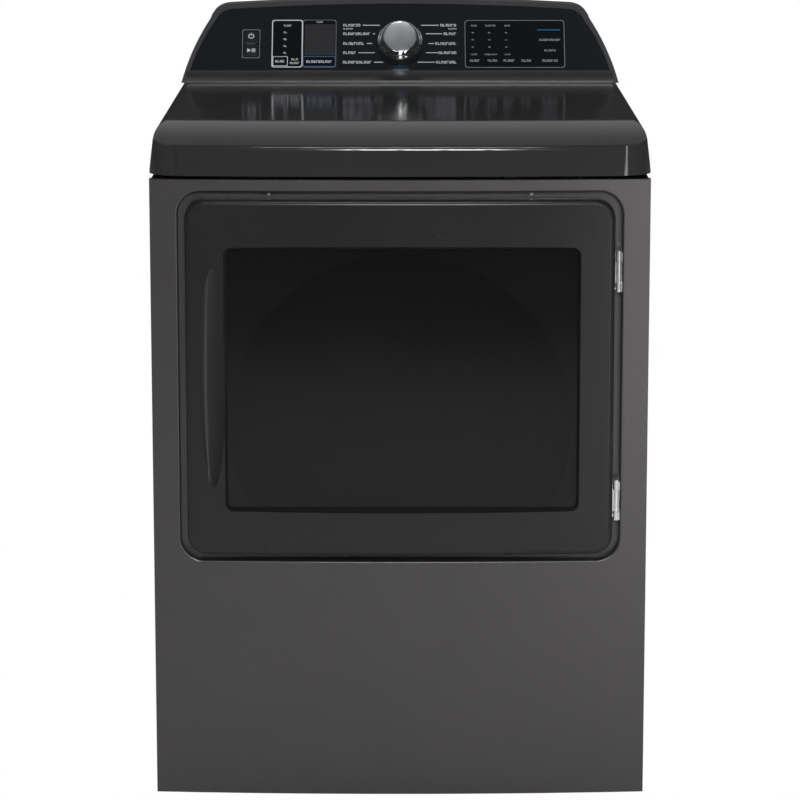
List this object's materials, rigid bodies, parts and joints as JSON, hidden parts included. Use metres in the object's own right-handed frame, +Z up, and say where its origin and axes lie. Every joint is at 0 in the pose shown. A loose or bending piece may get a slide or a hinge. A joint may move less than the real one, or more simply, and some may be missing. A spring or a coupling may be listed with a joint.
{
  "type": "clothes dryer",
  "caption": "Front-loading clothes dryer with a bowed cabinet, side-hinged window door, sloped rear control console, turning drum, belt drive and rear exhaust.",
  "frame": {"origin": "on the floor, under the middle of the bounding box", "axes": "+X right facing the door, +Y from the door to the wall, +Z up"},
  "size_m": [0.686, 0.81, 1.0622],
  "materials": {
    "cabinet_paint": "satin",
    "cover_paint": "gloss",
    "console_paint": "satin",
    "zinc_sheet": "satin",
    "fascia_gloss": "gloss",
    "display_glass": "gloss",
    "circuit_board": "matte",
    "black_plastic": "matte",
    "door_plastic": "satin",
    "grey_plastic": "matte",
    "door_glass": "gloss",
    "hinge_steel": "gloss",
    "knob_chrome": "gloss",
    "knob_spun": "brushed",
    "key_plastic": "gloss",
    "drum_coat": "satin",
    "steel": "satin",
    "felt": "matte",
    "glide_plastic": "matte",
    "bronze": "satin",
    "motor_enamel": "satin",
    "rubber": "matte",
    "lamp_lens": "gloss"
  },
  "bodies": {
    "cabinet": {"base_pan": "zinc_sheet", "side_panels": "cabinet_paint", "rear_panel": "zinc_sheet", "front_panel": "cabinet_paint", "top_cover": "cover_paint", "top_braces": "zinc_sheet", "console_housing": "console_paint", "console_back_cover": "zinc_sheet", "console_fascia": "fascia_gloss", "display_windows": "display_glass", "control_board": "circuit_board", "knob_encoder": "black_plastic", "cabinet_hinge_leaves": "hinge_steel", "hinge_pins": "hinge_steel", "door_catch": "black_plastic", "door_switch": "black_plastic", "front_bulkhead": "zinc_sheet", "trap_duct": "grey_plastic", "drum_front_seal": "felt", "drum_glides": "glide_plastic", "heater_housing": "zinc_sheet", "heater_element": "steel", "bearing_bracket": "zinc_sheet", "rear_bearing": "bronze", "motor": "motor_enamel", "motor_bracket": "zinc_sheet", "blower_housing": "grey_plastic", "exhaust_duct": "steel", "drum_belt": "rubber", "idler_spring": "steel", "terminal_block": "black_plastic", "terminal_cover": "zinc_sheet", "cord_inlet": "black_plastic", "moisture_sensor_bars": "steel", "drum_lamp": "lamp_lens", "levelling_feet": "rubber", "panel_screws": "steel"},
    "door": {"door_frame": "door_plastic", "door_window_glass": "door_glass", "door_liner": "grey_plastic", "door_inner_glass": "door_glass", "door_gasket": "rubber", "door_strike": "black_plastic", "door_hinge_leaves": "hinge_steel"},
    "knob": {"knob_skirt": "black_plastic", "knob_ring": "knob_chrome", "knob_cap": "knob_spun"},
    "power_key": {"power_button": "key_plastic"},
    "start_key": {"start_button": "key_plastic"},
    "drum": {"drum_shell": "drum_coat", "drum_back": "drum_coat", "drum_baffles": "grey_plastic", "drum_shaft": "steel"},
    "fan": {"motor_shaft": "steel", "blower_wheel": "black_plastic"},
    "idler": {"idler_arm": "steel"},
    "idler_wheel": {"idler_pulley": "black_plastic"},
    "lint_filter": {"lint_filter_frame": "grey_plastic", "lint_filter_screen": "steel"},
    "switch_plunger": {"door_switch_plunger": "grey_plastic"}
  },
  "joints": [
    {"name": "door_hinge", "type": "hinge", "parent": "cabinet", "child": "door", "pos_m": [0.298, -0.393, 0.5985], "axis": [0, 0, 1], "range_deg": [0, 170]},
    {"name": "knob_spin", "type": "hinge", "parent": "cabinet", "child": "knob", "pos_m": [0, 0.26556, 0.99519], "axis": [0, -0.788, 0.6157], "continuous": true},
    {"name": "power_button_press", "type": "slide", "parent": "cabinet", "child": "power_key", "axis": [0, 0.788, -0.6157], "range_m": [0, 0.0015], "stiffness_N_per_m": 800},
    {"name": "start_button_press", "type": "slide", "parent": "cabinet", "child": "start_key", "axis": [0, 0.788, -0.6157], "range_m": [0, 0.0015], "stiffness_N_per_m": 800},
    {"name": "drum_spin", "type": "hinge", "parent": "cabinet", "child": "drum", "pos_m": [0, 0, 0.53], "axis": [0, 1, 0], "continuous": true},
    {"name": "motor_spin", "type": "hinge", "parent": "cabinet", "child": "fan", "pos_m": [0.19, 0, 0.11], "axis": [0, 1, 0], "continuous": true},
    {"name": "idler_arm_swing", "type": "hinge", "parent": "cabinet", "child": "idler", "pos_m": [0.15, 0.0215, 0.04], "axis": [0, 1, 0], "range_deg": [0, 12], "stiffness_Nm_per_rad": 2, "springref_deg": -22.92},
    {"name": "idler_pulley_spin", "type": "hinge", "parent": "idler", "child": "idler_wheel", "pos_m": [0.09, 0.01, 0.07], "axis": [0, 1, 0], "continuous": true},
    {"name": "lint_filter_lift", "type": "slide", "parent": "cabinet", "child": "lint_filter", "axis": [0, 0, 1], "range_m": [0, 0.19]},
    {"name": "door_switch_travel", "type": "slide", "parent": "cabinet", "child": "switch_plunger", "axis": [0, 1, 0], "range_m": [-0.003, 0]}
  ],
  "couplings": [
    {"joint": "motor_spin", "follows": "drum_spin", "ratio": 34.737},
    {"joint": "idler_pulley_spin", "follows": "drum_spin", "ratio": 13.2},
    {"joint": "door_switch_travel", "follows": "door_hinge", "m_per_rad": -0.001}
  ]
}
